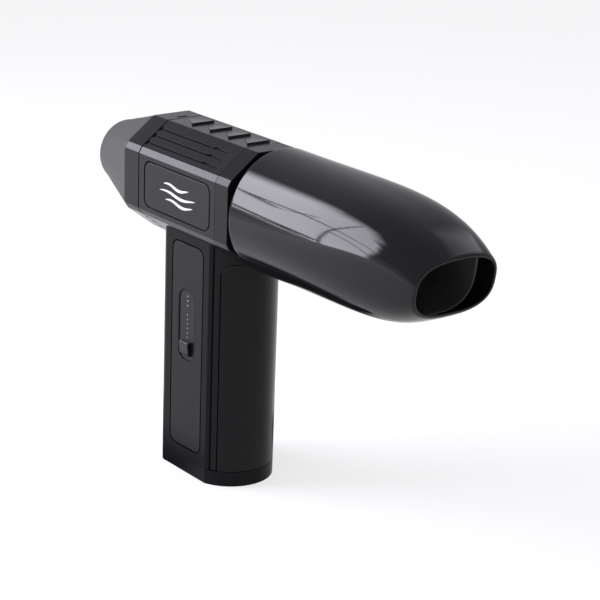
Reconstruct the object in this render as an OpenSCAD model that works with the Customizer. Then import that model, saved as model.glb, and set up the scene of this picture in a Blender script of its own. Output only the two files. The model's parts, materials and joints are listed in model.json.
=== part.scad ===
// Hand-held car dryer blower: an octagonal fan head with a slip-on bullet nozzle, on a battery handle.
// The origin is the centre of the handle's flat base. +X is the way the air leaves, +Z is up, and
// the speed slider is on the -Y side.

/* [Head] */
// Height of the fan axis above the base
head_z = 158; // [150:1:175]
// Width of the head across its side faces
head_w = 60; // [58:1:64]
// Height of the head
head_h = 62; // [60:1:66]
// Front end of the head
head_front = 40.1; // [38:0.1:46]
// Seam between the front ring and the main body
front_seam = 28.9; // [27:0.1:32]
// Seam between the main body and the rear ring
rear_seam = -40.9; // [-46:0.1:-39]
// Rear end of the rear ring, where the intake cap starts
cap_seam = -54.8; // [-60:0.1:-52]
// Radius of the cap's round end
cap_end_r = 18.2; // [16:0.1:22]
// Place of the cap's round end
cap_end_x = -97.7; // [-110:0.1:-85]

/* [Fan] */
// Bore of the fan duct
duct_r = 25.4; // [25:0.1:25.8]
// Number of impeller blades
blade_count = 9; // [5:1:13]
// Number of stator vanes
vane_count = 7; // [5:1:11]
// Radius of the hub that the air flows around
hub_r = 12.8; // [12:0.1:14]

/* [Nozzle] */
// Rear rim of the nozzle
nozzle_rear = 45.5; // [44:0.1:50]
// Middle of the mouth's plane
nozzle_tip = 179.9; // [160:0.1:200]
// Outer radius of the rear rim
nozzle_r = 33.4; // [33:0.1:36]
// Half of the mouth's outer width
mouth_half_w = 25.5; // [22:0.1:28]
// Top of the mouth above the fan axis
mouth_top = 11.8; // [9:0.1:15]
// Bottom of the mouth above the fan axis
mouth_bottom = -18; // [-22:0.1:-14]
// Lean of the mouth's plane, with its top forwards
mouth_lean = 10; // [0:1:15]
// Wall of the nozzle shell
nozzle_wall = 1.8; // [1.5:0.1:2]

/* [Handle] */
// Width of the handle
grip_w = 45; // [44:0.5:48]
// Rear face of the handle
grip_rear = -30; // [-32:0.5:-29]
// Front of the handle
grip_front_x = 30.4; // [30:0.1:33]
// Radius of the rounded front
grip_front_r = 24; // [23.5:0.1:26]
// Wall of the handle
grip_wall = 2.6; // [2.6:0.1:3]
// Height of the bottom cap
base_h = 8.3; // [7:0.1:10]

/* [Speed slider] */
// Centre of the slider window along the handle's width
window_x = -4.9; // [-6:0.1:-4]
// Travel of the slider
slider_travel = 24; // [16:1:24]

/* [Hidden] */
$fn = 96;

// Half of a block that is larger than the head and the handle, for cutting
reach = 100;

// Colours
satin_black = [0.16, 0.16, 0.18];
panel_black = [0.13, 0.13, 0.15];
gloss_black = [0.05, 0.05, 0.06];
mesh_grey = [0.45, 0.45, 0.48];
steel = [0.7, 0.7, 0.72];
copper = [0.72, 0.4, 0.2];
board_green = [0.05, 0.3, 0.15];

// Head section: corners of one quarter, from the side face round to the top face
side_flat = 15.3;
chamfer = [1.9, 3.2];
top_flat = 11.3;
head_quarter = [
  [head_w / 2, side_flat],
  [head_w / 2 - chamfer.x, side_flat + chamfer.y],
  [top_flat, head_h / 2]
];
head_corners = concat(
  head_quarter,
  [for (i = [2:-1:0]) [-head_quarter[i].x, head_quarter[i].y]],
  [for (p = head_quarter) -p],
  [for (i = [2:-1:0]) [head_quarter[i].x, -head_quarter[i].y]]
);
head_wall = 3;
seam_gap = 0.8;
rear_ring_t = 2.35;
shoulder_run = head_quarter[2] - head_quarter[1];
shoulder_len = norm(shoulder_run);
shoulder_angle = atan2(shoulder_run.y, -shoulder_run.x);

// Intake cap: bore of its round end, and how far that end rolls past cap_end_x
cap_wall = 1.6;
cap_edge_r = 3.5;
cap_bore_r = 13.6;

// Inset inlays
inlay_depth = 1.6;
inlay_t = 1.5;
inlay_gap = 0.85;
inlay_corner = 5.5;
side_panel_x = [-36.2, 24.9];
side_panel_h = 26;
grip_panel_x = [-19.3, 10.2];
grip_panel_z = [14, 131];

// Shoulder grooves: places up the shoulder from its lower edge, and where their darts end
groove_along = [3.6, 9, 14.2];
groove_tips = [front_seam - 4, front_seam - 4.6, front_seam - 5.2];

// Top strip and its arrowhead tiles
strip_half_w = 11;
top_strip_t = 2;
tile_pitch = 16.55;
tile_first = -24.8;
tile_half_w = 7.3;
tile_tip_offset = 3.7;
tile_rise = 1.2;

// Speed slider, at rest at the bottom of its window
window_w = 15.2;
window_z = [64.7, 105];
knob_z = 72;
knob_w = 8;
knob_proud = 2.1;
strip_w = 16.4;
strip_t = 0.9;
lip_t = 0.45;
strip_front = -grip_w / 2 + lip_t + 0.05;
strip_back = strip_front + strip_t;
strip_z = [knob_z - 33, knob_z + 34.5];
channel_w = 17;
channel_z = [37, 132.5];
wall_in = grip_w / 2 - grip_wall;
panel_back = grip_w / 2 - inlay_depth;
carriage_w = 6.4;
carriage_z = [86, 98];

// Charging port in the handle's back, by its width and height
port = [8.94, 3.26];
port_z = 15.1;
port_gap = 0.2;

// Battery
cell_r = 9.1;
cell_len = 65;
cell_z = 11.5;
cell_pitch = 18.6;
cell_x = -11.2;
cell_places = [for (i = [0, 1], j = [-0.5, 0.5]) [cell_x + i * cell_pitch, j * cell_pitch]];

// Fan and motor stations along the axis
collar_r = 28.8;
collar_end = 58;
duct_wall_r = duct_r + 1.4;
duct_rear = -38.9;
shaft_r = 1.5;
bearing_r = 4;
impeller_x = [-33, -19];
housing_x = [-17.5, 14];
core_x = [-12, 4];
screw_places = [[-24.6, 17], [-24.6, -17], [22, 11], [22, -11]];
post_r = 3;
neck_places = [[-22, 7], [-22, -7], [4, 7], [4, -7]];
lead_x = 10.6;
lead_pitch = 1.7;
lead_hole_r = 3.4;

// Places children, drawn with x across and y up, along the fan axis from x0 to x1
module along_x(x0, x1) {
  translate([x0, 0, head_z]) rotate([90, 0, 90]) linear_extrude(x1 - x0) children();
}

// Places children, made about the local z axis, about the fan axis
module on_axis() {
  translate([0, 0, head_z]) rotate([0, 90, 0]) children();
}

module tube_x(x0, x1, r_out, r_in) {
  along_x(x0, x1) difference() {
    circle(r_out);
    circle(r_in);
  }
}

// Outline with corners p moved inwards by t
function edge_normal(a, b) = [b.y - a.y, a.x - b.x] / norm(b - a);
function inset(p, t) = [
  for (i = [0:len(p) - 1])
    let (
      n1 = edge_normal(p[(i + len(p) - 1) % len(p)], p[i]),
      n2 = edge_normal(p[i], p[(i + 1) % len(p)])
    )
    p[i] - t * (n1 + n2) / (1 + n1 * n2)
];

module head_ring(x0, x1, t_out, t_in) {
  along_x(x0, x1) difference() {
    polygon(inset(head_corners, t_out));
    polygon(inset(head_corners, t_in));
  }
}

// Rectangle from lo to hi with round corners
module rounded_rect(lo, hi, r) {
  translate([lo.x + r, lo.y]) square([hi.x - lo.x - 2 * r, hi.y - lo.y]);
  translate([lo.x, lo.y + r]) square([hi.x - lo.x, hi.y - lo.y - 2 * r]);
  for (x = [lo.x + r, hi.x - r], y = [lo.y + r, hi.y - r]) translate([x, y]) circle(r);
}

// Plate drawn in x and z, from y = y0 to y = y1
module plate_y(y0, y1) {
  translate([0, y1, 0]) rotate([90, 0, 0]) linear_extrude(y1 - y0) children();
}

// Closed skin through a loop of rings that all have the same number of points
module ring_loop(rings) {
  n = len(rings[0]);
  m = len(rings);
  polyhedron(
    points = [for (ring = rings) each ring],
    faces = [
      for (i = [0:m - 1], j = [0:n - 1])
        let (k = (i + 1) % m, l = (j + 1) % n)
        each [
          [i * n + j, i * n + l, k * n + l],
          [i * n + j, k * n + l, k * n + j]
        ]
    ]
  );
}

// ---- Head ----

function cap_start(t) = [
  let (p = inset(head_corners, t))
  for (i = [0:len(p) - 1])
    let (a = p[i], b = p[(i + 1) % len(p)], n = norm(b - a) > 10 ? 4 : 1)
    for (k = [0:n - 1]) a + (b - a) * k / n
];

// Cap section with its start outline inset by t, at x, on the way to a circle of radius r
function cap_ring(t, x, share, r) = [
  for (p = cap_start(t))
    let (q = p * (1 - share) + r * p / norm(p) * share)
    [x, q.x, head_z + q.y]
];

module intake_cap() {
  inset_t = 0.4;
  front = cap_seam - 0.6;
  steps = [0, 0.34, 0.67, 1];
  end = cap_end_x - cap_edge_r;
  color(mesh_grey) ring_loop(concat(
    [for (s = steps) cap_ring(inset_t, front + (cap_end_x - front) * s, s, cap_end_r)],
    [for (a = [30, 60, 90]) cap_ring(
      inset_t, cap_end_x - cap_edge_r * sin(a), 1, cap_end_r - cap_edge_r * (1 - cos(a))
    )],
    [cap_ring(inset_t, end, 1, cap_bore_r), cap_ring(inset_t, end + cap_wall, 1, cap_bore_r)],
    [for (i = [3:-1:0]) cap_ring(
      inset_t + cap_wall, front + (cap_end_x - front) * steps[i], steps[i], cap_end_r - cap_wall
    )]
  ));
}

module intake_grille() {
  x0 = cap_end_x - cap_edge_r + 0.4;
  x1 = x0 + 2;
  spoke = [10.6, 1];
  hub = 2.4;
  color(satin_black) union() {
    tube_x(x0, x1, cap_bore_r - 0.1, 12.2);
    for (r = [9.4, 5.8]) tube_x(x0, x1, r, r - spoke.y);
    along_x(x0, x1) circle(hub);
    for (i = [0:7]) along_x(x0 + 0.3, x1 - 0.3) rotate(i * 45) translate([2, -spoke.y / 2]) square(spoke);
  }
}

module filter_frame() {
  sleeve = [rear_ring_t + 0.1, 3.9];
  rim_in = 6.5;
  color(satin_black) union() {
    head_ring(cap_seam - 1, cap_seam + 6.8, sleeve[0], sleeve[1]);
    head_ring(cap_seam, cap_seam + 1.2, sleeve[1] - 0.1, rim_in);
  }
}

module intake_filter() {
  pad_x = [cap_seam - 0.95, cap_seam - 0.05];
  color([0.25, 0.25, 0.26]) along_x(pad_x[0], pad_x[1]) polygon(inset(head_corners, 4));
}

module rear_ring() {
  notch = [1.8, 6.6, 0.8];
  color(satin_black) difference() {
    union() {
      head_ring(cap_seam, rear_seam - seam_gap, 0, rear_ring_t);
      head_ring(rear_seam - seam_gap - 0.1, rear_seam, seam_gap, rear_ring_t);
    }
    translate([rear_seam - 4.4, -notch.y / 2, head_z + head_h / 2 - notch.z]) cube([notch.x, notch.y, 2]);
  }
}

// Grooves along a shoulder, drawn on the shoulder between +Y and the top: each is a slot that
// starts in a notch at the rear seam and widens into a long dart in front
module shoulder_grooves() {
  half_w = 0.5;
  depth = 1;
  dart = [16, 1.6];
  notch = [1.6, 1.4];
  rear = rear_seam - 1;
  for (i = [0:2]) {
    p = head_quarter[1] + shoulder_run * groove_along[i] / shoulder_len;
    tip = groove_tips[i];
    translate([0, p.x, head_z + p.y]) rotate([-shoulder_angle, 0, 0]) translate([0, 0, -depth])
      linear_extrude(2 * depth) polygon([
        [rear, -notch.y], [rear_seam + notch.x, -notch.y], [rear_seam + notch.x + 1, -half_w],
        [tip - dart.x, -half_w], [tip - dart.x + 2, -dart.y], [tip, 0],
        [tip - dart.x + 2, half_w], [rear_seam + notch.x + 1, half_w],
        [rear_seam + notch.x, notch.y], [rear, notch.y]
      ]);
  }
}

module side_panel_shape(gap) {
  rounded_rect(
    [side_panel_x[0] + gap, -side_panel_h / 2 + gap],
    [side_panel_x[1] - gap, side_panel_h / 2 - gap],
    inlay_corner - gap
  );
}

module head_shell_half() {
  difference() {
    head_ring(rear_seam, front_seam, 0, head_wall);
    translate([-reach, -reach, 0]) cube([2 * reach, reach, 3 * reach]);
    shoulder_grooves();
    translate([0, 0, 2 * head_z]) mirror([0, 0, 1]) shoulder_grooves();
    translate([-reach, -1, head_z + head_h / 2 - top_strip_t]) cube([2 * reach, strip_half_w + 1.1, 5]);
    translate([0, 0, head_z]) plate_y(head_w / 2 - inlay_depth, head_w / 2 + 1) side_panel_shape(0);
    for (p = neck_places) translate([p.x, abs(p.y), 120]) cylinder(r = 1.3, h = 15);
    translate([lead_x, 0, 120]) cylinder(r = lead_hole_r, h = 15);
  }
}

module head_shell_left() {
  color(satin_black) head_shell_half();
}

module head_shell_right() {
  color(satin_black) mirror([0, 1, 0]) head_shell_half();
}

module side_panel_left() {
  color(panel_black) translate([0, 0, head_z])
    plate_y(head_w / 2 - inlay_t, head_w / 2) side_panel_shape(inlay_gap);
}

module side_panel_right() {
  color(panel_black) mirror([0, 1, 0]) side_panel_left();
}

module tile(x_front) {
  tip = x_front - tile_pitch + tile_tip_offset;
  top = head_z + head_h / 2;
  intersection() {
    translate([0, 0, top - 0.5]) linear_extrude(tile_rise + 1)
      polygon([[tip, 0], [x_front, -tile_half_w], [x_front, tile_half_w]]);
    plate_y(-tile_half_w - 1, tile_half_w + 1)
      polygon([[tip, top - 0.5], [x_front + 1, top - 0.5], [x_front + 1, top + tile_rise], [tip, top]]);
  }
}

module top_strip() {
  top = head_z + head_h / 2;
  color(satin_black) union() {
    translate([rear_seam + 0.05, -strip_half_w, top - top_strip_t + 0.02])
      cube([front_seam - rear_seam - 0.1, 2 * strip_half_w, top_strip_t - 0.02]);
    for (i = [0:3]) tile(tile_first + i * tile_pitch);
  }
}

module front_ring() {
  color(satin_black) along_x(front_seam, head_front) difference() {
    polygon(head_corners);
    circle(duct_wall_r + 0.02);
  }
}

module outlet_collar() {
  color(gloss_black) tube_x(head_front, collar_end, collar_r, duct_wall_r + 0.02);
}

module inlet_bell() {
  lip_x = rear_seam - 6;
  flange_t = 1.6;
  bell_t = 1.8;
  mouth_r = 2.6;
  color(satin_black) union() {
    along_x(duct_rear - flange_t, duct_rear) difference() {
      polygon(inset(head_corners, head_wall + 0.15));
      circle(duct_r);
    }
    on_axis() rotate_extrude() difference() {
      translate([duct_r, lip_x]) square([bell_t, duct_rear - lip_x]);
      translate([duct_r + bell_t - mouth_r, lip_x]) circle(mouth_r);
    }
  }
}

// ---- Fan unit ----

module fan_duct() {
  color([0.2, 0.2, 0.21]) difference() {
    tube_x(duct_rear, collar_end, duct_wall_r, duct_r);
    translate([lead_x, 0, head_z - 40]) cylinder(r = lead_hole_r - 0.2, h = 20);
  }
}

module spinner() {
  color([0.25, 0.25, 0.27]) difference() {
    on_axis() translate([0, 0, impeller_x[0]]) intersection() {
      sphere(hub_r);
      translate([0, 0, -hub_r / 2]) cube([2 * hub_r + 1, 2 * hub_r + 1, hub_r], center = true);
    }
    along_x(impeller_x[0] - 4, impeller_x[0] + 1) circle(shaft_r);
  }
}

module impeller() {
  blade_gap = 0.35;
  blade_pitch = 38;
  blade = [18, 1.2, duct_r];
  mid = (impeller_x[0] + impeller_x[1]) / 2;
  color([0.75, 0.75, 0.77]) difference() {
    union() {
      along_x(impeller_x[0], impeller_x[1]) circle(hub_r);
      intersection() {
        along_x(impeller_x[0], impeller_x[1]) circle(duct_r - blade_gap);
        for (i = [0:blade_count - 1])
          translate([mid, 0, head_z]) rotate([i * 360 / blade_count, 0, 0]) rotate([0, 0, blade_pitch])
            translate([-blade.x / 2, -blade.y / 2, hub_r - 1.5]) cube(blade);
      }
    }
    along_x(impeller_x[0] - 1, impeller_x[1] + 1) circle(shaft_r);
  }
}

module motor_shaft() {
  color(steel) along_x(impeller_x[0] - 4, 12.5) circle(shaft_r);
}

module rotor_magnet() {
  color([0.4, 0.4, 0.43]) tube_x(core_x[0], core_x[1], 5, shaft_r);
}

module stator_housing() {
  hub_wall = 1.2;
  web_t = 3;
  vane = [19, 1.4];
  color([0.3, 0.3, 0.32]) difference() {
    union() {
      tube_x(housing_x[0], housing_x[1], hub_r, hub_r - hub_wall);
      tube_x(housing_x[0], housing_x[0] + web_t, hub_r - hub_wall / 2, bearing_r + 0.02);
      difference() {
        for (i = [0:vane_count - 1])
          translate([0, 0, head_z]) rotate([i * 360 / vane_count + 180 / vane_count, 0, 0])
            translate([core_x[0], -vane.y / 2, hub_r - hub_wall / 2])
              cube([vane.x, vane.y, duct_r - hub_r + 0.3]);
        tube_x(-20, 20, 40, duct_r - 0.05);
      }
    }
    translate([lead_x, 0, head_z - hub_r - 1]) cylinder(r = lead_hole_r - 0.4, h = 3);
  }
}

module stator_core() {
  tooth_tip = 6;
  tooth_w = 2.2;
  ring_in = 9.8;
  color([0.5, 0.5, 0.52]) union() {
    tube_x(core_x[0], core_x[1], 11.55, ring_in);
    difference() {
      for (i = [0:5])
        along_x(core_x[0], core_x[1]) rotate(i * 60)
          translate([0, -tooth_w / 2]) square([ring_in + 0.3, tooth_w]);
      along_x(core_x[0] - 1, core_x[1] + 1) circle(tooth_tip);
    }
  }
}

module motor_coils() {
  color(copper) for (i = [0:5])
    translate([0, 0, head_z]) rotate([i * 60 + 90, 0, 0]) difference() {
      translate([core_x[0] - 1.8, -2.3, 6.6]) cube([core_x[1] - core_x[0] + 3.6, 4.6, 2.6]);
      translate([core_x[0] - 0.05, -1.15, 6]) cube([core_x[1] - core_x[0] + 0.1, 2.3, 4]);
    }
}

module bearing(x0) {
  color(steel) tube_x(x0, x0 + 2.9, bearing_r, shaft_r + 0.03);
}

module rear_bearing() {
  bearing(housing_x[0] + 0.05);
}

module front_bearing() {
  bearing(8.7);
}

module motor_end_plate() {
  color([0.6, 0.6, 0.62]) union() {
    tube_x(8.6, housing_x[1], 5.8, bearing_r + 0.02);
    tube_x(housing_x[1], housing_x[1] + 1.6, hub_r, 2.5);
  }
}

module tail_cone() {
  x0 = housing_x[1] + 1.65;
  cone_len = 32;
  tip_r = 3;
  color([0.2, 0.2, 0.21]) on_axis() union() {
    translate([0, 0, x0]) cylinder(r1 = hub_r, r2 = tip_r, h = cone_len);
    translate([0, 0, x0 + cone_len]) sphere(tip_r);
  }
}

// ---- Nozzle ----

// The nozzle tapers a little from its rim, and rounds down to a wide flat mouth near its tip
function nozzle_half_w(s) = nozzle_r + (mouth_half_w - nozzle_r) * pow(s, 2.9);
function nozzle_top(s) = nozzle_r + (mouth_top - nozzle_r) * (0.055 * s + 0.945 * pow(s, 5.4));
function nozzle_bottom(s) = -nozzle_r + (mouth_bottom + nozzle_r) * (0.31 * s + 0.69 * pow(s, 7.4));
function nozzle_square(s) = 2 + 1.6 * pow(s, 2.4) - 0.9 * pow(s, 8);
function signed_pow(v, p) = sign(v) * pow(abs(v), p);

// Section at share s of the length, moved inwards by t, with its plane leaning near the tip
nozzle_sides = 40;
function nozzle_ring(s, t) = [
  let (
    a = nozzle_half_w(s) - t,
    top = nozzle_top(s) - t,
    bottom = nozzle_bottom(s) + t,
    mid = (top + bottom) / 2,
    e = 2 / nozzle_square(s)
  )
  for (i = [0:nozzle_sides - 1])
    let (
      angle = i * 360 / nozzle_sides,
      y = a * signed_pow(cos(angle), e),
      z = mid + (top - bottom) / 2 * signed_pow(sin(angle), e)
    )
    [
      nozzle_rear + (nozzle_tip - nozzle_rear) * s
        + tan(mouth_lean) * pow(s, 3) * (z - (mouth_top + mouth_bottom) / 2),
      y,
      head_z + z
    ]
];
function nozzle_round(x, r) = [
  for (i = [0:nozzle_sides - 1]) [x, r * cos(i * 360 / nozzle_sides), head_z + r * sin(i * 360 / nozzle_sides)]
];
nozzle_steps = [0.12, 0.25, 0.4, 0.52, 0.62, 0.7, 0.77, 0.83, 0.88, 0.925, 0.965, 1];
socket_r = 30.7;
socket_end = 60;

module nozzle_shell() {
  n = len(nozzle_steps);
  color(gloss_black) ring_loop(concat(
    [nozzle_ring(0, 0)],
    [for (s = nozzle_steps) nozzle_ring(s, 0)],
    [for (i = [n - 1:-1:0]) nozzle_ring(nozzle_steps[i], nozzle_wall)],
    [nozzle_round(socket_end, socket_r + 0.1), nozzle_round(nozzle_rear, socket_r + 0.1)]
  ));
}

module nozzle_socket() {
  color(gloss_black) tube_x(nozzle_rear + 1.5, socket_end, socket_r, collar_r + 0.08);
}

module nozzle_liner() {
  wall = 1.2;
  outer = nozzle_wall + 0.25;
  steps = [0.25, 0.4, 0.55, 0.67, 0.77, 0.84, 0.9, 0.94];
  n = len(steps);
  color([0.08, 0.08, 0.09]) ring_loop(concat(
    [nozzle_round(socket_end + 0.1, 30)],
    [for (s = steps) nozzle_ring(s, outer)],
    [for (i = [n - 1:-1:0]) nozzle_ring(steps[i], outer + wall)],
    [nozzle_round(socket_end + 0.1, 28.5)]
  ));
}

// ---- Handle ----

// Plan of the handle, moved inwards by t: flat sides, a round front and rounded rear corners
module grip_plan(t) {
  w = grip_w - 2 * t;
  front_mid = grip_front_x - grip_front_r;
  r = 6 - t;
  x0 = grip_rear + t;
  intersection() {
    union() {
      translate([front_mid, 0]) circle(grip_front_r - t);
      translate([x0 + r, -w / 2]) square([front_mid - x0 - r, w]);
    }
    translate([x0, -w / 2]) square([reach, w]);
  }
  translate([x0, -w / 2 + r]) square([r + 1, w - 2 * r]);
  for (y = [-w / 2 + r, w / 2 - r]) translate([x0 + r, y]) circle(r);
}

module grip_tube(z0, z1, t_out, t_in) {
  translate([0, 0, z0]) linear_extrude(z1 - z0) difference() {
    grip_plan(t_out);
    grip_plan(t_in);
  }
}

module head_space() {
  along_x(rear_seam - 20, head_front + 20) polygon(head_corners);
}

module grip_panel_shape(gap) {
  rounded_rect(
    [grip_panel_x[0] + gap, grip_panel_z[0] + gap],
    [grip_panel_x[1] - gap, grip_panel_z[1] - gap],
    inlay_corner - gap
  );
}

frame_end = 17;
module handle_frame() {
  web_t = 2.6;
  head_bottom = head_z - head_h / 2;
  color(satin_black) difference() {
    union() {
      intersection() {
        grip_tube(base_h + 0.3, head_z, 0, grip_wall);
        translate([-reach, -reach, 0]) cube([reach + frame_end, 2 * reach, 3 * reach]);
      }
      translate([0, 0, head_bottom - web_t]) linear_extrude(web_t) intersection() {
        grip_plan(grip_wall - 0.1);
        translate([-reach, -reach]) square([reach + frame_end - 1.5, 2 * reach]);
      }
      for (p = screw_places) if (p.x < 0) translate([p.x, p.y, base_h + 0.3]) cylinder(r = post_r, h = 20);
    }
    head_space();
    for (side = [-1, 1]) {
      y0 = side > 0 ? panel_back : -grip_w / 2 - 1;
      plate_y(y0, y0 + inlay_depth + 1) grip_panel_shape(0);
    }
    plate_y(-panel_back - 1, -wall_in + 1) translate([window_x - channel_w / 2, channel_z[0]])
      square([channel_w, channel_z[1] - channel_z[0]]);
    translate([grip_rear - 1, -port.x / 2 - port_gap, port_z - port_gap])
      cube([grip_wall + 2, port.x + 2 * port_gap, port.y + 2 * port_gap]);
    for (p = neck_places) translate([p.x, p.y, 110]) cylinder(r = 1.7, h = 30);
    translate([lead_x, 0, 110]) cylinder(r = lead_hole_r, h = 30);
    for (p = screw_places) translate([p.x, p.y, 0]) cylinder(r = 1.25, h = 22);
  }
}

// The front shell's face stands out from a grooved lip, and its upper corners are round
module grip_front() {
  lip_in = 0.6;
  lip_x = 21.3;
  groove_w = 1.2;
  groove_depth = 0.6;
  split_gap = 0.35;
  face_top = head_z - head_h / 2 - 1.4;
  face_corner = 5;
  color([0.1, 0.1, 0.11]) difference() {
    union() {
      intersection() {
        grip_tube(base_h + 0.3, head_z, lip_in, grip_wall);
        translate([frame_end + split_gap, -reach, 0]) cube([reach, 2 * reach, 3 * reach]);
      }
      intersection() {
        grip_tube(base_h + 0.3, face_top, 0, grip_wall - 0.5);
        plate_y(-reach, reach) rounded_rect([lip_x, -reach], [reach, face_top], face_corner);
      }
      for (p = screw_places) if (p.x > 0) translate([p.x, p.y, base_h + 0.3]) cylinder(r = post_r, h = 20);
    }
    intersection() {
      grip_tube(base_h, face_top - face_corner, lip_in - 0.1, lip_in + groove_depth);
      plate_y(-reach, reach) translate([lip_x - groove_w, 0]) square([groove_w, 2 * reach]);
    }
    head_space();
    for (p = screw_places) translate([p.x, p.y, 0]) cylinder(r = 1.25, h = 22);
  }
}

module window_shape(gap) {
  rounded_rect(
    [window_x - window_w / 2 + gap, window_z[0] + gap],
    [window_x + window_w / 2 - gap, window_z[1] - gap],
    6 - gap
  );
}

module switch_panel() {
  color(panel_black) difference() {
    plate_y(-grip_w / 2, -grip_w / 2 + inlay_t) grip_panel_shape(inlay_gap);
    plate_y(-grip_w / 2 - 1, 0) window_shape(0);
    plate_y(-grip_w / 2 + lip_t, 0) translate([window_x - channel_w / 2, strip_z[0] - 1])
      square([channel_w, grip_panel_z[1] - strip_z[0] + 2]);
  }
}

module blank_panel() {
  color(panel_black) plate_y(grip_w / 2 - inlay_t, grip_w / 2) grip_panel_shape(inlay_gap);
}

module bottom_cap() {
  floor_t = 2.4;
  color(satin_black) difference() {
    union() {
      grip_tube(0, base_h, 0, 2.4);
      linear_extrude(floor_t) grip_plan(1);
      grip_tube(0, base_h + 2.4, grip_wall + 0.1, grip_wall + 1.4);
      translate([-20, -1.5, 0]) cube([36, 3, cell_z - 0.4]);
      translate([-1.9 - 1.5, -16, 0]) cube([3, 32, cell_z - 0.4]);
    }
    for (p = screw_places) {
      translate([p.x, p.y, -1]) cylinder(r = 1.6, h = 20);
      translate([p.x, p.y, -1]) cylinder(r = 2.7, h = 2.2);
      translate([p.x, p.y, floor_t]) cylinder(r = post_r + 0.3, h = 20);
    }
    translate([grip_rear - 1, -9, base_h - 0.1]) cube([9, 18, 10]);
  }
}

// ---- Speed slider ----

module slider_strip() {
  color(panel_black) plate_y(strip_front, strip_back)
    translate([window_x - strip_w / 2, strip_z[0]]) square([strip_w, strip_z[1] - strip_z[0]]);
}

module slider_knob() {
  half = knob_w / 2;
  face = strip_front;
  crest = -grip_w / 2 - knob_proud;
  color(gloss_black) translate([window_x - half, 0, knob_z]) rotate([90, 0, 90]) linear_extrude(knob_w)
    polygon([
      [face, -half], [face, half], [crest + 0.3, half], [crest, half - 0.5],
      [crest, half - 2], [crest + 0.4, half - 4], [crest + 0.5, -half + 1.3], [crest + 1.5, -half]
    ]);
}

module slider_carriage() {
  color([0.85, 0.85, 0.83]) difference() {
    plate_y(strip_back, -wall_in + 3.4) translate([window_x - carriage_w / 2, carriage_z[0]])
      square([carriage_w, carriage_z[1] - carriage_z[0]]);
    plate_y(-wall_in + 1.4, -wall_in + 4) translate([window_x - 0.9, carriage_z[0] + 4.8])
      square([1.8, 2.4]);
  }
}

module pot_wiper() {
  color(steel) plate_y(-wall_in + 1.5, -wall_in + 6.2)
    translate([window_x - 0.8, carriage_z[0] + 4.9]) square([1.6, 2.2]);
}

module strip_retainer() {
  slot = carriage_w / 2 + 0.4;
  color([0.85, 0.85, 0.83]) difference() {
    union() {
      plate_y(-wall_in + 0.2, -wall_in + 1.2) translate([window_x - 12, channel_z[0]]) square([24, 86]);
      plate_y(strip_back + 0.15, -wall_in + 1) translate([window_x - 8.2, channel_z[0] + 0.5]) square([16.4, 85]);
    }
    plate_y(-grip_w, 0) translate([window_x - slot, carriage_z[0] - 1]) square([2 * slot, 50]);
  }
}

module slide_pot() {
  body_y = [-wall_in + 4.2, -wall_in + 8.1];
  color([0.5, 0.5, 0.5]) difference() {
    plate_y(body_y[0], body_y[1]) translate([window_x - 3.5, carriage_z[0] - 2]) square([7, 38]);
    plate_y(body_y[0] - 1, body_y[0] + 2.6) translate([window_x - 1.2, carriage_z[0] + 1]) square([2.4, 32]);
  }
}

// ---- Electronics and battery ----

board_y = -wall_in + 8.1;
module control_board() {
  color(board_green) plate_y(board_y + 0.05, board_y + 1.65) translate([-21, 80]) square([35, 42]);
}

module board_chips() {
  y0 = board_y + 1.7;
  color([0.1, 0.1, 0.1]) union() {
    for (i = [0:2], j = [0, 1]) translate([-18 + i * 7.5, y0, 102 + j * 8]) cube([5, 1.2, 6]);
  }
  color([0.12, 0.12, 0.12]) translate([-14, y0, 86]) cube([7, 1, 7]);
}

module bulk_capacitor() {
  color([0.1, 0.1, 0.25]) translate([6, board_y + 5.8, 84]) cylinder(r = 4, h = 14);
}

module battery_cells() {
  color([0.1, 0.35, 0.6]) for (p = cell_places) translate([p.x, p.y, cell_z])
    cylinder(r = cell_r, h = cell_len);
}

holder_t = 3;
module cell_holder(z0) {
  margin = cell_r + 0.7;
  size = [cell_pitch + 2 * margin, 2 * cell_pitch];
  color([0.85, 0.85, 0.83]) translate([0, 0, z0]) linear_extrude(holder_t) difference() {
    translate([cell_x - margin, -size.y / 2]) square(size);
    for (p = cell_places) translate(p) circle(cell_r + 0.1);
  }
}

module cell_holder_lower() {
  cell_holder(cell_z + 1);
}

module cell_holder_upper() {
  cell_holder(cell_z + cell_len - holder_t - 1);
}

module nickel_strips() {
  strip = [28.2, 7, 0.3];
  color(steel) {
    for (x = [cell_x, cell_x + cell_pitch])
      translate([x - strip.y / 2, -strip.x / 2, cell_z - strip.z - 0.05]) cube([strip.y, strip.x, strip.z]);
    for (y = [-cell_pitch / 2, cell_pitch / 2])
      translate([cell_x - (strip.x - cell_pitch) / 2, y - strip.y / 2, cell_z + cell_len + 0.05]) cube(strip);
  }
}

charge_board_x = -24.6;
module charge_board() {
  board = [1.2, 17, 18];
  color(board_green) translate([charge_board_x, -board.y / 2, cell_z - 0.3]) cube(board);
}

module usb_port() {
  sheet = 0.35;
  depth = charge_board_x - grip_rear - 0.25;
  color(steel) difference() {
    translate([grip_rear + port_gap, -port.x / 2, port_z]) cube([depth, port.x, port.y]);
    translate([grip_rear - 1, -port.x / 2 + sheet, port_z + sheet])
      cube([depth, port.x - 2 * sheet, port.y - 2 * sheet]);
  }
}

// Tube of eight sides through points
function ring_at(p, dir, r) =
  let (
    side = abs(dir.z) > 0.9 ? [1, 0, 0] : cross(dir, [0, 0, 1]),
    u = side / norm(side),
    v = cross(dir, u) / norm(cross(dir, u))
  )
  [for (i = [0:7]) p + r * (u * cos(i * 45) + v * sin(i * 45))];

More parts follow.
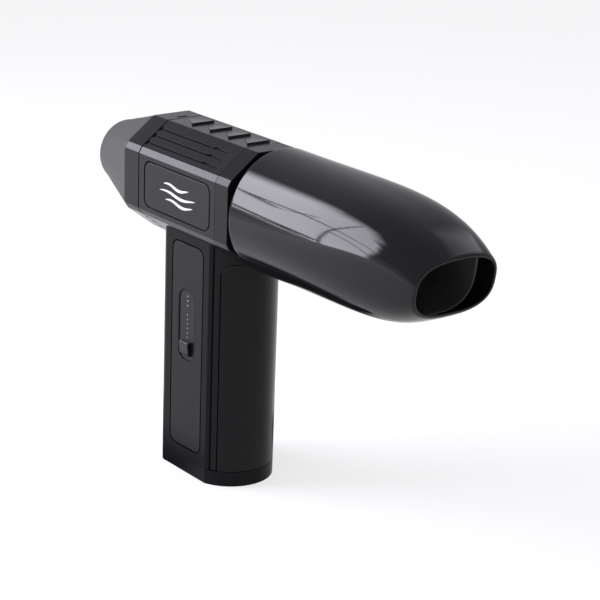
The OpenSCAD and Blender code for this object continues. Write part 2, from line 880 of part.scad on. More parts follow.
module wire(points, r) {
  n = len(points);
  rings = [
    for (i = [0:n - 1])
      let (d = points[min(i + 1, n - 1)] - points[max(i - 1, 0)])
      ring_at(points[i], d / norm(d), r)
  ];
  polyhedron(
    points = [for (ring = rings) each ring],
    faces = concat(
      [[for (j = [0:7]) j]],
      [[for (j = [7:-1:0]) (n - 1) * 8 + j]],
      [
        for (i = [0:n - 2], j = [0:7])
          let (l = (j + 1) % 8)
          each [
            [i * 8 + j, (i + 1) * 8 + j, (i + 1) * 8 + l],
            [i * 8 + j, (i + 1) * 8 + l, i * 8 + l]
          ]
      ]
    )
  );
}

module battery_leads() {
  y = board_y + 3.2;
  color([0.7, 0.1, 0.1]) for (x = [-16, -12.4])
    wire([[x, -7.6, 77.7], [x, -7.7, 80], [x, -7.9, 83], [x, y, 86]], 0.8);
}

module motor_leads() {
  hub_bottom = head_z - hub_r + 1.3;
  y0 = board_y + 2.6;
  color([0.8, 0.6, 0.1]) for (i = [-1, 0, 1])
    let (x = lead_x + lead_pitch * i)
    wire([
      [x, y0, 112], [x, y0 + 0.5, 115], [x, y0 / 2, 120], [x, -0.5, 125], [x, 0, 128], [x, 0, hub_bottom]
    ], 0.7);
}

module screw(r, head_r, head_t, len) {
  difference() {
    union() {
      cylinder(r = head_r, h = head_t);
      cylinder(r = r, h = len);
    }
    translate([0, 0, -1]) cylinder(r = r * 0.75, h = 1 + head_t * 0.6, $fn = 6);
  }
}

module neck_screws() {
  color(steel) for (p = neck_places)
    translate([p.x, p.y, head_z - head_h / 2 - 4.6]) screw(1.25, 2.6, 2, 7.4);
}

module bottom_screws() {
  color(steel) for (p = screw_places) translate([p.x, p.y, 0.5]) screw(1.2, 2.3, 0.7, 18);
}

intake_cap();
intake_grille();
filter_frame();
intake_filter();
rear_ring();
head_shell_left();
head_shell_right();
side_panel_left();
side_panel_right();
top_strip();
front_ring();
outlet_collar();
inlet_bell();
fan_duct();
spinner();
impeller();
motor_shaft();
rotor_magnet();
stator_housing();
stator_core();
motor_coils();
rear_bearing();
front_bearing();
motor_end_plate();
tail_cone();
nozzle_shell();
nozzle_socket();
nozzle_liner();
handle_frame();
grip_front();
switch_panel();
blank_panel();
bottom_cap();
slider_strip();
slider_knob();
slider_carriage();
pot_wiper();
strip_retainer();
slide_pot();
control_board();
board_chips();
bulk_capacitor();
battery_cells();
cell_holder_lower();
cell_holder_upper();
nickel_strips();
charge_board();
usb_port();
battery_leads();
motor_leads();
neck_screws();
bottom_screws();
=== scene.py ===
"""Looks of a hand-held car dryer blower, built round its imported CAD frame, in metres."""
import json
import math

import bmesh
import bpy
from mathutils import Matrix, Vector


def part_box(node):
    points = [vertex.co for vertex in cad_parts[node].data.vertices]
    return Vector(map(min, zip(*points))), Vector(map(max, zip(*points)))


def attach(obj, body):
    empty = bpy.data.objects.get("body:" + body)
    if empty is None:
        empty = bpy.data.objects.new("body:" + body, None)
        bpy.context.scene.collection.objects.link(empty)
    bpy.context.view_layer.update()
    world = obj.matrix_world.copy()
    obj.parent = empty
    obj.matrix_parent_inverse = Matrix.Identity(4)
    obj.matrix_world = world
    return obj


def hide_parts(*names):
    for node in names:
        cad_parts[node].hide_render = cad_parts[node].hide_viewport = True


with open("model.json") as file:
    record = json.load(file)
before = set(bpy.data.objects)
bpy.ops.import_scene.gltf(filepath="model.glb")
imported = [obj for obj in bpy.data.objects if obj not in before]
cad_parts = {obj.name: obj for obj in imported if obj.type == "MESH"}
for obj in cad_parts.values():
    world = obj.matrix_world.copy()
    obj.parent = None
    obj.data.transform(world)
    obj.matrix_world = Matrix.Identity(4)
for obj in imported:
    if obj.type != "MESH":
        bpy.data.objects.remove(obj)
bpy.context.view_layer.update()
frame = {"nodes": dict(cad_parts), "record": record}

MM = 0.001
# Bodies of the record
HEAD, NOZZLE, SLIDER = "main_body", "nozzle", "speed_slider"
# Height of the fan axis, in metres
HEAD_Z = 0.158


def add_object(name, data):
    obj = bpy.data.objects.new(name, data)
    bpy.context.scene.collection.objects.link(obj)
    return obj


def empty_material(name):
    """A material that has only its output, with its nodes, links and surface socket."""
    material = bpy.data.materials.new(name)
    material.use_nodes = True
    tree = material.node_tree
    tree.nodes.clear()
    out = tree.nodes.new("ShaderNodeOutputMaterial")
    return material, tree.nodes, tree.links, out.inputs["Surface"]


# ---- Camera and light ----

def make_camera():
    camera = bpy.data.cameras.new("camera")
    camera.sensor_width = 36
    camera.lens = 118.03
    camera.clip_start = 0.05
    camera.clip_end = 50
    back = Vector((0.74320512, -0.58898751, 0.31739544))
    level = Vector((0.62110269, 0.78372919, 0))
    steep = back.cross(level)
    roll = math.radians(-2.147)
    right = level * math.cos(roll) - steep * math.sin(roll)
    up = level * math.sin(roll) + steep * math.cos(roll)
    place = Matrix((right, up, back)).transposed().to_4x4()
    place.translation = Vector((0.813685, -0.594085, 0.435277))
    obj = add_object("camera", camera)
    obj.matrix_world = place
    bpy.context.scene.camera = obj


def on_plane(plane, u, v):
    """The point u across and v up from the middle of a plane."""
    middle, across, upright = plane
    return middle + across * u + upright * v


def soft_emitter(name, plane, outline, margins, strength, colour):
    """A glowing polygon on a plane that fades to clear over a margin at each of its corners."""
    centre = Vector((sum(p[0] for p in outline), sum(p[1] for p in outline))) / len(outline)
    rings = []
    for share in (0, 1):
        ring = []
        for (u, v), margin in zip(outline, margins):
            away = (Vector((u, v)) - centre).normalized()
            u, v = Vector((u, v)) + away * margin * (share - 0.5)
            ring.append(on_plane(plane, u, v))
        rings.append(ring)
    n = len(outline)
    faces = [tuple(range(n))]
    faces += [(i, (i + 1) % n, n + (i + 1) % n, n + i) for i in range(n)]
    mesh = bpy.data.meshes.new(name)
    mesh.from_pydata(rings[0] + rings[1], [], faces)
    glow_share = mesh.attributes.new("glow", "FLOAT", "POINT")
    glow_share.data.foreach_set("value", [1.0] * n + [0.0] * n)
    obj = add_object(name, mesh)
    material, nodes, links, surface = empty_material(name)
    glow = nodes.new("ShaderNodeEmission")
    glow.inputs["Color"].default_value = (*colour, 1)
    glow.inputs["Strength"].default_value = strength
    clear = nodes.new("ShaderNodeBsdfTransparent")
    share = nodes.new("ShaderNodeAttribute")
    share.attribute_name = "glow"
    fade = nodes.new("ShaderNodeMapRange")
    fade.interpolation_type = "SMOOTHSTEP"
    mix = nodes.new("ShaderNodeMixShader")
    links.new(share.outputs["Fac"], fade.inputs["Value"])
    links.new(fade.outputs["Result"], mix.inputs[0])
    links.new(clear.outputs[0], mix.inputs[1])
    links.new(glow.outputs[0], mix.inputs[2])
    links.new(mix.outputs[0], surface)
    mesh.materials.append(material)
    return obj


def seam(name, plane, points, width):
    """A dark strip through points of a plane, a little in front of it on the object's side."""
    gap = 0.01
    dark_cloth = (0.1, 0.1, 0.12, 1)
    middle, across, upright = plane
    towards = across.cross(upright).normalized()
    if towards.dot(middle) > 0:
        towards.negate()
    verts = []
    for i, (u, v) in enumerate(points):
        before = points[max(i - 1, 0)]
        after = points[min(i + 1, len(points) - 1)]
        run = Vector((after[0] - before[0], after[1] - before[1])).normalized()
        for side in (-width / 2, width / 2):
            verts.append(on_plane(plane, u - run.y * side, v + run.x * side) + towards * gap)
    faces = [(2 * i, 2 * i + 1, 2 * i + 3, 2 * i + 2) for i in range(len(points) - 1)]
    mesh = bpy.data.meshes.new(name)
    mesh.from_pydata(verts, [], faces)
    obj = add_object(name, mesh)
    material, nodes, links, surface = empty_material(name)
    dark = nodes.new("ShaderNodeBsdfDiffuse")
    dark.inputs["Color"].default_value = dark_cloth
    links.new(dark.outputs[0], surface)
    mesh.materials.append(material)


def only_in_gloss(obj):
    """Keeps a card out of every view and out of the soft light, so that only glossy faces show it."""
    obj.visible_camera = False
    obj.visible_diffuse = False
    obj.visible_transmission = False
    obj.visible_shadow = False


def make_floor():
    """A bright, slightly shaded table that the object stands on."""
    half = 6
    corners = [(-half, -half, 0), (half, -half, 0), (half, half, 0), (-half, half, 0)]
    mesh = bpy.data.meshes.new("floor")
    mesh.from_pydata(corners, [], [(0, 1, 2, 3)])
    floor = add_object("floor", mesh)
    material, nodes, links, surface = empty_material("floor")
    shader = nodes.new("ShaderNodeBsdfPrincipled")
    shader.inputs["Base Color"].default_value = (0.36, 0.36, 0.36, 1)
    shader.inputs["Roughness"].default_value = 0.9
    shader.inputs["Specular IOR Level"].default_value = 0.1
    shader.inputs["Emission Color"].default_value = (1, 1, 1, 1)
    shader.inputs["Emission Strength"].default_value = 0.64
    links.new(shader.outputs[0], surface)
    mesh.materials.append(material)


def make_main_softbox():
    """Stands to the left and shows as the broad reflection along the nozzle, with its seams."""
    middle = Vector((-0.664, -0.663, 0.339))
    plane = (middle, Vector((-0.6428, 0.7660, 0)), Vector((0.1330, 0.1116, 0.9848)))
    # Each corner across and up from the middle, and the width of its fade
    corners = [
        (0.40, 0.52, 0.3),
        (0.10, 0.52, 0.34),
        (-0.20, 0.58, 0.4),
        (-0.36, 0.42, 0.34),
        (-0.41, 0.20, 0.08),
        (-0.40, -0.05, 0.06),
        (-0.31, -0.36, 0.06),
        (-0.20, -0.44, 0.05),
        (0.045, -0.16, 0.05),
        (0.40, 0.22, 0.05),
    ]
    outline = [(u, v) for u, v, margin in corners]
    margins = [margin for u, v, margin in corners]
    soft_emitter("softbox", plane, outline, margins, 12.5, (0.92, 0.9, 1.0))
    seams = {
        "seam_high": (0.012, [(0.5, 0.34), (0.05, 0.16), (-0.25, -0.02), (-0.45, -0.12)]),
        "seam_low": (0.02, [(0.5, 0.3), (0.15, 0.0), (-0.12, -0.3)]),
        "stand": (0.012, [(-0.13, -0.41), (-0.13, -0.15), (-0.12, 0.0), (-0.12, 0.2), (-0.1, 0.5)]),
        "brace": (0.01, [(-0.13, -0.04), (-0.24, -0.13), (-0.35, -0.28)]),
        "fold": (0.01, [(0.04, -0.17), (-0.03, -0.22), (-0.15, -0.4)]),
        "corner": (0.012, [(0.12, 0.18), (0.06, 0.11), (0.04, 0.16), (0.01, 0.2)]),
    }
    for name, (width, points) in seams.items():
        seam(name, plane, points, width)


def make_shadow_card():
    """A painted floor shadow: a nearly black card that lies on the floor round the handle's foot and shows
    on the nozzle's underside, and in no other view.
    """
    plane = (Vector((0, 0, 0.0005)), Vector((1, 0, 0)), Vector((0, 1, 0)))
    outline = [(-0.12, -0.04), (-0.01, -0.04), (0.02, 0.01), (0.0, 0.09), (-0.12, 0.09)]
    card = soft_emitter("shadow_card", plane, outline, [0.045] * len(outline), 0.02, (1, 1, 1))
    only_in_gloss(card)


def make_back_softbox():
    """Stands high at the back and shows just above the mouth."""
    plane = (Vector((0.20, 1.00, 1.00)), Vector((1, 0, 0)), Vector((0, -0.65, 0.76)))
    outline = [(-0.42, -0.30), (0.30, -0.22), (0.34, 0.20), (-0.20, 0.22)]
    soft_emitter("back_softbox", plane, outline, [0.5] * len(outline), 2.6, (0.9, 0.9, 1.0))


def make_studio():
    scene = bpy.context.scene
    scene.view_settings.view_transform = "Standard"
    world = bpy.data.worlds.new("studio")
    scene.world = world
    world.use_nodes = True
    background = world.node_tree.nodes["Background"]
    background.inputs["Color"].default_value = (0.95, 0.95, 1.0, 1)
    background.inputs["Strength"].default_value = 0.68
    make_floor()
    make_main_softbox()
    make_shadow_card()
    make_back_softbox()


# ---- Materials ----

MATERIALS = {}
# Range of a noise texture's output that carries nearly all of it
NOISE_RANGE = (0.3, 0.7)


def map_range(nodes, links, source, before, after):
    """A node that maps a source from one range of values to another."""
    node = nodes.new("ShaderNodeMapRange")
    node.inputs["From Min"].default_value = before[0]
    node.inputs["From Max"].default_value = before[1]
    node.inputs["To Min"].default_value = after[0]
    node.inputs["To Max"].default_value = after[1]
    links.new(source, node.inputs["Value"])
    return node.outputs["Result"]


def scaled(nodes, links, factor):
    """A node that multiplies a vector by a factor."""
    node = nodes.new("ShaderNodeVectorMath")
    node.operation = "SCALE"
    links.new(factor, node.inputs["Scale"])
    return node


def bumped(nodes, links, height, strength, depth):
    """A bump node, its depth in millimetres."""
    node = nodes.new("ShaderNodeBump")
    node.inputs["Strength"].default_value = strength
    node.inputs["Distance"].default_value = depth * MM
    links.new(height, node.inputs["Height"])
    return node


def first_node(material, kind):
    return next(n for n in material.node_tree.nodes if n.type == kind)


def plastic(name, colour, roughness, grain=0.0, grain_size=0.35, specular=0.5, mottling=0.12):
    """Moulded plastic: a fine spark-eroded grain, and slow changes of tone and sheen."""
    sheen_change = 0.07
    grain_depth = 0.05
    material, nodes, links, surface = empty_material(name)
    MATERIALS[name] = material
    shader = nodes.new("ShaderNodeBsdfPrincipled")
    shader.inputs["Specular IOR Level"].default_value = specular
    links.new(shader.outputs[0], surface)
    place = nodes.new("ShaderNodeTexCoord")
    slow = nodes.new("ShaderNodeTexNoise")
    slow.inputs["Scale"].default_value = 60
    slow.inputs["Detail"].default_value = 4
    links.new(place.outputs["Object"], slow.inputs["Vector"])
    tone = map_range(nodes, links, slow.outputs["Fac"], NOISE_RANGE, (1 - mottling, 1 + mottling))
    toned = scaled(nodes, links, tone)
    toned.inputs[0].default_value = colour
    links.new(toned.outputs["Vector"], shader.inputs["Base Color"])
    sheen_range = (roughness * (1 - sheen_change), roughness * (1 + sheen_change))
    sheen = map_range(nodes, links, slow.outputs["Fac"], NOISE_RANGE, sheen_range)
    links.new(sheen, shader.inputs["Roughness"])
    if grain:
        fine = nodes.new("ShaderNodeTexNoise")
        fine.inputs["Scale"].default_value = 1 / (grain_size * MM)
        fine.inputs["Detail"].default_value = 2
        links.new(place.outputs["Object"], fine.inputs["Vector"])
        bump = bumped(nodes, links, fine.outputs["Fac"], grain, grain_depth)
        links.new(bump.outputs["Normal"], shader.inputs["Normal"])
    return material


def mesh_plastic(name, colour, roughness, pitch):
    """Moulded plastic with a fine mesh of dimples, pitch millimetres apart, laid round the fan axis, and
    shade painted into each dimple.
    """
    mean_radius = 25
    dimple_edge = (0.28, 0.42)
    dimple_shade = (0.55, 1.15)
    material = plastic(name, colour, roughness, grain=0.2, grain_size=0.3, specular=0.3)
    nodes = material.node_tree.nodes
    links = material.node_tree.links
    shader = first_node(material, "BSDF_PRINCIPLED")
    toned = first_node(material, "VECT_MATH")
    place = first_node(material, "TEX_COORD")
    grain = first_node(material, "BUMP")
    around_axis = nodes.new("ShaderNodeMapping")
    around_axis.inputs["Location"].default_value = (0, 0, -HEAD_Z)
    links.new(place.outputs["Object"], around_axis.inputs["Vector"])
    split = nodes.new("ShaderNodeSeparateXYZ")
    links.new(around_axis.outputs["Vector"], split.inputs["Vector"])
    turn = nodes.new("ShaderNodeMath")
    turn.operation = "ARCTAN2"
    links.new(split.outputs["Y"], turn.inputs[0])
    links.new(split.outputs["Z"], turn.inputs[1])
    grid = nodes.new("ShaderNodeCombineXYZ")
    repeats = {"X": (turn.outputs[0], mean_radius / pitch), "Y": (split.outputs["X"], 1 / (pitch * MM))}
    for socket, (source, repeat) in repeats.items():
        steps = nodes.new("ShaderNodeMath")
        steps.operation = "MULTIPLY"
        steps.inputs[1].default_value = repeat
        links.new(source, steps.inputs[0])
        links.new(steps.outputs[0], grid.inputs[socket])
    dimple = nodes.new("ShaderNodeTexVoronoi")
    dimple.voronoi_dimensions = "2D"
    dimple.inputs["Scale"].default_value = 1
    dimple.inputs["Randomness"].default_value = 0
    links.new(grid.outputs["Vector"], dimple.inputs["Vector"])
    # Painted shade: the base colour drops to about half in each dimple and rises a little between them
    wall = map_range(nodes, links, dimple.outputs["Distance"], dimple_edge, dimple_shade)
    shadowed = scaled(nodes, links, wall)
    links.new(toned.outputs["Vector"], shadowed.inputs[0])
    links.new(shadowed.outputs["Vector"], shader.inputs["Base Color"])
    bump = bumped(nodes, links, wall, 0.4, 0.15)
    links.new(grain.outputs["Normal"], bump.inputs["Normal"])
    links.new(bump.outputs["Normal"], shader.inputs["Normal"])


def moulded_black(name, colour, roughness, specular, grain=0.15):
    """The black plastics of the outside, which are nearly even in tone."""
    plastic(name, colour, roughness, grain=grain, specular=specular, mottling=0.06)


def printed(name, tone):
    plastic(name, (tone, tone, tone), 0.5, grain=0.2, mottling=0.05)


def metal(name, colour, roughness, brushed):
    material = plastic(name, colour, roughness, grain=brushed, grain_size=0.25)
    first_node(material, "BSDF_PRINCIPLED").inputs["Metallic"].default_value = 1


def make_materials():
    """One material for each slot of the record, and a few more, among them lit and shaded copies of the
    black plastic, which paint light and shade.
    """
    moulded_black("satin_black", (0.0065, 0.0064, 0.0078), 0.2, 0.2)
    moulded_black("panel_black", (0.0075, 0.0073, 0.0088), 0.22, 0.2)
    # Painted light and shade: the next five are copies of the black plastic for single parts, the top
    # strip's lighter and the others darker
    moulded_black("ring_shaded_black", (0.0065, 0.0064, 0.0078), 0.2, 0.16)
    moulded_black("side_shaded_black", (0.007, 0.0068, 0.008), 0.22, 0.15)
    moulded_black("top_lit_black", (0.0075, 0.0074, 0.0088), 0.2, 0.25)
    moulded_black("frame_shaded_black", (0.005, 0.005, 0.006), 0.2, 0.08)
    moulded_black("grip_black", (0.003, 0.003, 0.004), 0.2, 0.16, grain=0.12)
    plastic("gloss_black", (0.003, 0.003, 0.004), 0.055, specular=0.26, mottling=0.05)
    # A dull black for the nozzle's throat and the liner's outside, which also paints shade into the
    # shoulder grooves and round the slider's window
    plastic("throat_and_shade_black", (0.004, 0.004, 0.004), 0.6, grain=0.2, specular=0.1)
    mesh_plastic("cap_grey", (0.045, 0.045, 0.045), 0.5, 1.1)
    plastic("duct_black", (0.11, 0.11, 0.11), 0.32, grain=0.2)
    plastic("filter_foam", (0.04, 0.04, 0.045), 0.9, grain=1.0, grain_size=1.2)
    metal("impeller_alloy", (0.6, 0.6, 0.62), 0.3, brushed=0.3)
    metal("motor_steel", (0.5, 0.5, 0.52), 0.28, brushed=0.3)
    metal("magnet", (0.3, 0.3, 0.32), 0.35, brushed=0.3)
    metal("copper", (0.72, 0.3, 0.12), 0.3, brushed=0.6)
    plastic("cell_wrap", (0.03, 0.16, 0.42), 0.3)
    plastic("white_plastic", (0.7, 0.7, 0.68), 0.45, grain=0.2)
    plastic("circuit_board", (0.01, 0.12, 0.04), 0.35, grain=0.2, grain_size=0.8)
    plastic("chip_black", (0.015, 0.015, 0.015), 0.5, grain=0.4)
    metal("nickel", (0.62, 0.6, 0.56), 0.3, brushed=0.3)
    plastic("wire_red", (0.4, 0.02, 0.02), 0.5)
    plastic("wire_yellow", (0.5, 0.32, 0.03), 0.5)
    moulded_black("knob_black", (0.006, 0.006, 0.007), 0.22, 0.3)
    printed("print_white", 0.6)
    printed("print_grey", 0.2)


SLOT_OF = {row["node"]: row["material_slot"] for row in frame["record"]["subparts"]}
# Nodes that get their own copy of their slot's black, lighter on the top strip and darker on the others:
# lit and shaded copies of one plastic, which paint light and shade
LIT_AND_SHADED_BLACK = {
    "grip_front": "grip_black",
    "handle_frame": "frame_shaded_black",
    "bottom_cap": "frame_shaded_black",
    "top_strip": "top_lit_black",
    "switch_panel": "side_shaded_black",
    "blank_panel": "side_shaded_black",
    "front_ring": "ring_shaded_black",
    "outlet_collar": "frame_shaded_black",
}


# ---- Mesh helpers ----

def new_piece(name, mesh, body, slot, *nodes, other_material=None):
    """Adds a piece that rides a body and stands for CAD nodes, with its slot's material or another."""
    obj = add_object(name, mesh)
    mesh.materials.clear()
    mesh.materials.append(MATERIALS[other_material or slot])
    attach(obj, body)
    if nodes:
        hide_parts(*nodes)
    return obj


def paint(mesh, material, faces):
    """Gives some of a mesh's faces a second material."""
    mesh.materials.append(MATERIALS[material])
    for face in faces:
        face.material_index = 1


def shade(mesh, angle=32):
    mesh.shade_smooth()
    mesh.set_sharp_from_angle(angle=math.radians(angle))


def flatten_normals(obj):
    """Large faces stay flat, and their rounded edges carry the change of direction."""
    modifier = obj.modifiers.new("normals", "WEIGHTED_NORMAL")
    modifier.mode = "FACE_AREA"
    modifier.weight = 100
    modifier.keep_sharp = True


def body_of(node):
    return next(b for b, members in frame["record"]["behaviour"]["bodies"].items() if node in members)


def softened(node, width):
    """A copy of a CAD node with its sharp edges rounded, which stands for the node."""
    same_place = 1e-6
    flat_angle = math.radians(0.2)
    sharp_angle = math.radians(15)
    mesh = frame["nodes"][node].data.copy()
    mesh.name = node + "_soft"
    bm = bmesh.new()
    bm.from_mesh(mesh)
    bmesh.ops.remove_doubles(bm, verts=bm.verts, dist=same_place)
    bmesh.ops.dissolve_limit(bm, angle_limit=flat_angle, verts=bm.verts, edges=bm.edges)
    edges = [e for e in bm.edges if len(e.link_faces) == 2 and e.calc_face_angle(0) > sharp_angle]
    bmesh.ops.bevel(
        bm, geom=edges, offset=width * MM, offset_type="OFFSET", segments=3, profile=0.5,
        affect="EDGES", clamp_overlap=True,
    )
    bm.to_mesh(mesh)
    bm.free()
    for name in ("sharp_edge", "custom_normal", "sharp_face"):
        if name in mesh.attributes:
            mesh.attributes.remove(mesh.attributes[name])
    shade(mesh)
    obj = new_piece(node + "_soft", mesh, body_of(node), SLOT_OF[node], node, other_material=LIT_AND_SHADED_BLACK.get(node))
    flatten_normals(obj)
    return obj


def loft(name, rings):
    """A skin through rings of equally many points, which joins the last ring to the first."""
    n = len(rings[0])
    faces = []
    for i in range(len(rings)):
        k = (i + 1) % len(rings)
        for j in range(n):
            l = (j + 1) % n
            faces.append((i * n + j, k * n + j, k * n + l, i * n + l))
    mesh = bpy.data.meshes.new(name)
    mesh.from_pydata([p for ring in rings for p in ring], [], faces)
    bm = bmesh.new()
    bm.from_mesh(mesh)
    bmesh.ops.recalc_face_normals(bm, faces=bm.faces)
    bm.to_mesh(mesh)
    bm.free()
    return mesh


def shares(start, end, count):
    """Evenly spaced values from start to end."""
    return [start + (end - start) * i / (count - 1) for i in range(count)]


# ---- Nozzle ----

# Sizes of the nozzle in millimetres; heights count from the fan axis
NOZZLE_REAR = 45.5
NOZZLE_TIP = 179.9
NOZZLE_LENGTH = NOZZLE_TIP - NOZZLE_REAR
RIM_R = 33.4
MOUTH_HALF_W = 25.5
MOUTH_TOP = 11.8
MOUTH_BOTTOM = -18.0
MOUTH_LEAN = math.tan(math.radians(10))
NOZZLE_WALL = 1.8
NOZZLE_SIDES = 128


def signed_pow(v, p):
    return math.copysign(abs(v) ** p, v)


def nozzle_ring(s, inset):
    """Section at share s of the nozzle's length, moved inwards by inset millimetres."""
    half_w = RIM_R + (MOUTH_HALF_W - RIM_R) * s**2.9 - inset
    top = RIM_R + (MOUTH_TOP - RIM_R) * (0.055 * s + 0.945 * s**5.4) - inset
    bottom = -RIM_R + (MOUTH_BOTTOM + RIM_R) * (0.31 * s + 0.69 * s**7.4) + inset
    power = 2 / (2 + 1.6 * s**2.4 - 0.9 * s**8)
    middle = (top + bottom) / 2
    mouth_middle = (MOUTH_TOP + MOUTH_BOTTOM) / 2
    ring = []
    for i in range(NOZZLE_SIDES):
        angle = 2 * math.pi * i / NOZZLE_SIDES
        y = half_w * signed_pow(math.cos(angle), power)
        z = middle + (top - bottom) / 2 * signed_pow(math.sin(angle), power)
        x = NOZZLE_REAR + NOZZLE_LENGTH * s + MOUTH_LEAN * s**3 * (z - mouth_middle)
        ring.append(Vector((x, y, z)) * MM + Vector((0, 0, HEAD_Z)))
    return ring


def nozzle_skin(name, path):
    """A skin through the nozzle's sections at a loop of shares and insets."""
    mesh = loft(name, [nozzle_ring(s, inset) for s, inset in path])
    shade(mesh, 60)
    return mesh


def round_edge(s, inset_a, inset_b, outwards):
    """Shares and insets that carry a wall round its edge at share s."""
    steps = 6
    r = (inset_b - inset_a) / 2
    path = []
    for i in range(steps + 1):
        turn = math.pi * i / steps
        back = abs(r) * (1 - math.sin(turn))
        path.append((s - outwards * back / NOZZLE_LENGTH, inset_a + r * (1 - math.cos(turn))))
    return path


def nozzle_shell():
    """The gloss bullet, with a rounded edge at both ends and a dull inside."""
    first, last = 0.012, 0.985
    rear = round_edge(0, NOZZLE_WALL, 0, -1)
    outer = [(s, 0.0) for s in shares(first, last, 90)]
    lip = round_edge(1, 0, NOZZLE_WALL, 1)
    inner = [(s, NOZZLE_WALL) for s in shares(last, first, 60)]
    mesh = nozzle_skin("nozzle_shell_skin", rear + outer + lip + inner)
    new_piece("nozzle_shell_skin", mesh, NOZZLE, "gloss_black", "nozzle_shell")
    first_inner = len(rear) + len(outer) + len(lip)
    paint(mesh, "throat_and_shade_black", mesh.polygons[first_inner * NOZZLE_SIDES:])


def nozzle_liner():
    """The air guide inside the shell, dull on its outside."""
    outer, inner = 2.05, 3.25
    rear, end = 0.12, 0.9
    last = end - 0.005
    outside = [(s, outer) for s in shares(rear, last, 40)]
    edge = round_edge(end, outer, inner, 1)
    inside = [(s, inner) for s in shares(last, rear, 40)]
    mesh = nozzle_skin("nozzle_liner_skin", outside + edge + inside)
    new_piece("nozzle_liner_skin", mesh, NOZZLE, "duct_black", "nozzle_liner")
    paint(mesh, "throat_and_shade_black", mesh.polygons[:(len(outside) - 1) * NOZZLE_SIDES])


# ---- Head ----

# Corners of a quarter of the head's octagon, and the intake cap's ends, in millimetres
HEAD_QUARTER = [(30.0, 15.3), (28.1, 18.5), (11.3, 31.0)]
CAP_SEAM = -54.8
CAP_END = -97.7
CAP_END_R = 18.2


def octagon(inset):
    """Corners of the head's octagon in y and z about the fan axis, moved inwards."""
    quarter = [Vector(p) for p in HEAD_QUARTER]
    half = quarter + [Vector((-p.x, p.y)) for p in reversed(quarter)]
    corners = half + [-p for p in half]
    n = len(corners)
    moved = []
    for i, p in enumerate(corners):
        before = (p - corners[i - 1]).normalized()
        after = (corners[(i + 1) % n] - p).normalized()
        normals = [Vector((run.y, -run.x)) for run in (before, after)]
        moved.append(p - inset * (normals[0] + normals[1]) / (1 + normals[0].dot(normals[1])))
    return moved


def head_outline(inset):
    """The octagon with its corners rounded and its long sides divided."""
    corner = 1.6
    corner_steps = 4
    side_steps = 14
    corners = octagon(inset)
    n = len(corners)
    outline = []
    for i, p in enumerate(corners):
        before = corners[i - 1] - p
        after = corners[(i + 1) % n] - p
        start = p + before.normalized() * corner
        end = p + after.normalized() * corner
        for k in range(corner_steps + 1):
            t = k / corner_steps
            outline.append(start.lerp(p, t).lerp(p.lerp(end, t), t))
        if after.length > 3 * corner:
            far = corners[(i + 1) % n] - after.normalized() * corner
            outline += [end.lerp(far, k / side_steps) for k in range(1, side_steps)]
    return outline


def intake_cap():
    """The grey cap: eight facets whose creases fade into a round, rolled end."""
    front = CAP_SEAM - 0.6
    length = CAP_END - front
    edge_r = 3.5
    edge_steps = 8
    wall = 1.6
    end = CAP_END - edge_r
    bore = 13.6
    start = head_outline(0.4)

    def ring(x, share, r=CAP_END_R, thinner=0.0):
        points = []
        for p in start:
            q = p * (1 - share) + p.normalized() * (r * share - thinner)
            points.append(Vector((x, q.x, q.y)) * MM + Vector((0, 0, HEAD_Z)))
        return points

    rings = [ring(front, 0, thinner=0.5), ring(front - 0.15, 0, thinner=0.15)]
    rings += [ring(front + length * s - 0.5 * (1 - s), s) for s in shares(0, 1, 40)]
    for i in range(1, edge_steps + 1):
        turn = math.pi / 2 * i / edge_steps
        rings.append(ring(CAP_END - edge_r * math.sin(turn), 1, CAP_END_R - edge_r * (1 - math.cos(turn))))
    rings += [ring(end, 1, bore + 0.4), ring(end + 0.3, 1, bore + 0.05), ring(end + wall, 1, bore)]
    rings += [ring(front + length * s, s, thinner=wall) for s in shares(0.97, 0, 20)]
    mesh = loft("intake_cap_skin", rings)
    shade(mesh, 50)
    new_piece("intake_cap_skin", mesh, HEAD, "cap_grey", "intake_cap")


def paint_groove_shade(shell):
    """Paints shade on the sunk faces of the shoulder grooves, in the dull black that also lines the
    nozzle's throat.
    """
    depths = (0.2, 1.3)
    ends = (-49, 32)
    low, high = (Vector(p) for p in HEAD_QUARTER[1:])
    normal = Vector((high.y - low.y, low.x - high.x)).normalized()
    sunk = []
    for face in shell.data.polygons:
        x, y, z = face.center / MM
        y, z = abs(y), abs(z - HEAD_Z / MM)
        depth = normal.dot(low) - normal.dot(Vector((y, z)))
        if depths[0] < depth < depths[1] and high.x < y < low.x and ends[0] < x < ends[1]:
            sunk.append(face)
    paint(shell.data, "throat_and_shade_black", sunk)


# ---- Print ----

def flat_print(name, outlines, face, body, other_material):
    """Print on a face that looks along -Y: outlines in x and z millimetres, a hair proud of it."""
    proud, sunk = face - 0.05, face + 0.02
    bm = bmesh.new()
    for outline in outlines:
        front = [bm.verts.new(Vector((x, proud, z)) * MM) for x, z in outline]
        back = [bm.verts.new(Vector((x, sunk, z)) * MM) for x, z in outline]
        bm.faces.new(front)
        bm.faces.new(list(reversed(back)))
        for i in range(len(outline)):
            k = (i + 1) % len(outline)
            bm.faces.new((front[i], back[i], back[k], front[k]))
    bmesh.ops.recalc_face_normals(bm, faces=bm.faces)
    mesh = bpy.data.meshes.new(name)
    bm.to_mesh(mesh)
    bm.free()
    new_piece(name, mesh, body, "white_plastic", other_material=other_material)


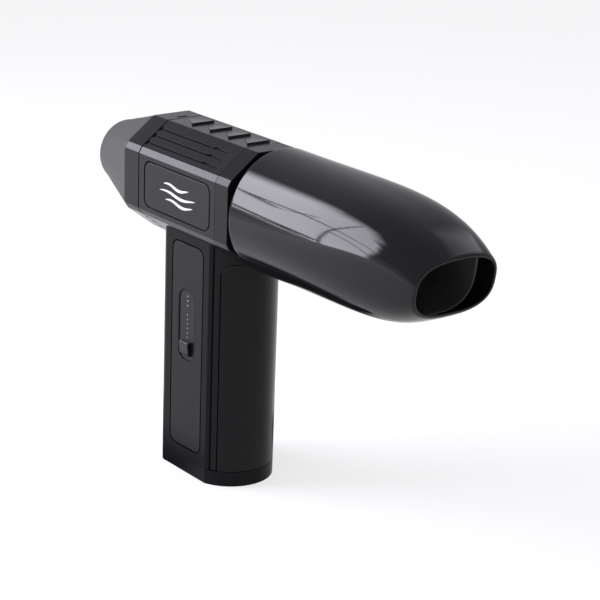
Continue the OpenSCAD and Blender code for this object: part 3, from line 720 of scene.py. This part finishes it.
def airflow_mark():
    """A plain airflow sign on the left panel: three waved lines with tapered ends."""
    panel_face = -30.0
    swing = 0.9
    waves, phase = 1.1, 0.05
    thin, thick = 0.08, 0.75
    # Height, start and end of each line
    lines = [(153.4, -15.5, 9.5), (157.6, -21.0, 11.5), (161.8, -17.5, 5.5)]
    outlines = []
    for height, x_start, x_end in lines:
        upper, lower = [], []
        for t in shares(0, 1, 41):
            x = x_start + (x_end - x_start) * t
            z = height + swing * math.sin(2 * math.pi * (t * waves + phase))
            half = thin + thick * math.sin(math.pi * t) ** 0.8
            upper.append((x, z + half))
            lower.append((x, z - half))
        outlines.append(upper + lower[::-1])
    flat_print("airflow_mark", outlines, panel_face, HEAD, "print_white")


# ---- Handle ----

# The slider's window in the handle's panel, in x and z millimetres
WINDOW_LOW = Vector((-12.5, 64.7))
WINDOW_HIGH = Vector((2.7, 105.0))
WINDOW_CORNER = 6.0
WINDOW_X = -4.9


def window_outline(inset):
    """The window's rounded outline, moved inwards."""
    steps = 8
    low = WINDOW_LOW + Vector((WINDOW_CORNER, WINDOW_CORNER))
    high = WINDOW_HIGH - Vector((WINDOW_CORNER, WINDOW_CORNER))
    radius = WINDOW_CORNER - inset
    points = []
    for k, (x, z) in enumerate([(high.x, high.y), (low.x, high.y), (low.x, low.y), (high.x, low.y)]):
        for i in range(steps + 1):
            turn = math.pi / 2 * (k + i / steps)
            points.append((x + radius * math.cos(turn), z + radius * math.sin(turn)))
    return points


def window_shadow_ring():
    """A dark ring round the inside of the slider's window, painted shadow that stands for the thin shadow
    line of the window's gap.
    """
    outer, inner = 0.03, 0.5
    front, back = -22.4, -22.12
    rings = []
    for inset, y in ((outer, front), (inner, front), (inner, back), (outer, back)):
        rings.append([Vector((x, y, z)) * MM for x, z in window_outline(inset)])
    mesh = loft("window_shadow_ring", rings)
    new_piece("window_shadow_ring", mesh, HEAD, "white_plastic", other_material="throat_and_shade_black")


def slider_dots():
    """Two groups of dots on the sliding strip, the upper three a little larger."""
    sink = 0.03
    pitch = 2.58
    first_z = 78.1
    gap_place = 6
    dot_x = WINDOW_X + 0.2
    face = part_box("slider_strip")[0][1] / MM + sink
    outlines = []
    for k in range(10):
        if k == gap_place:
            continue
        r = 0.48 if k > gap_place else 0.4
        turns = [math.tau * i / 16 for i in range(16)]
        outlines.append([(dot_x + r * math.cos(a), first_z + pitch * k + r * math.sin(a)) for a in turns])
    flat_print("slider_dots", outlines, face, SLIDER, "print_grey")


# ---- Pieces ----

# CAD nodes that get rounded edges, and the width of the rounding in millimetres
ROUNDED = {
    "rear_ring": 0.35, "head_shell_left": 0.12, "head_shell_right": 0.12, "side_panel_left": 0.3,
    "side_panel_right": 0.3, "top_strip": 0.15, "front_ring": 0.35, "outlet_collar": 0.3,
    "handle_frame": 0.3, "grip_front": 0.35, "switch_panel": 0.15, "blank_panel": 0.3,
    "bottom_cap": 0.4, "slider_knob": 0.35, "intake_grille": 0.2, "usb_port": 0.1,
}


def make_pieces():
    nozzle_shell()
    nozzle_liner()
    intake_cap()
    airflow_mark()
    window_shadow_ring()
    slider_dots()
    for node, width in ROUNDED.items():
        soft = softened(node, width)
        if node.startswith("head_shell"):
            paint_groove_shade(soft)
    for node, obj in frame["nodes"].items():
        obj.data.materials.clear()
        obj.data.materials.append(MATERIALS[SLOT_OF[node]])


make_camera()
make_studio()
make_materials()
make_pieces()
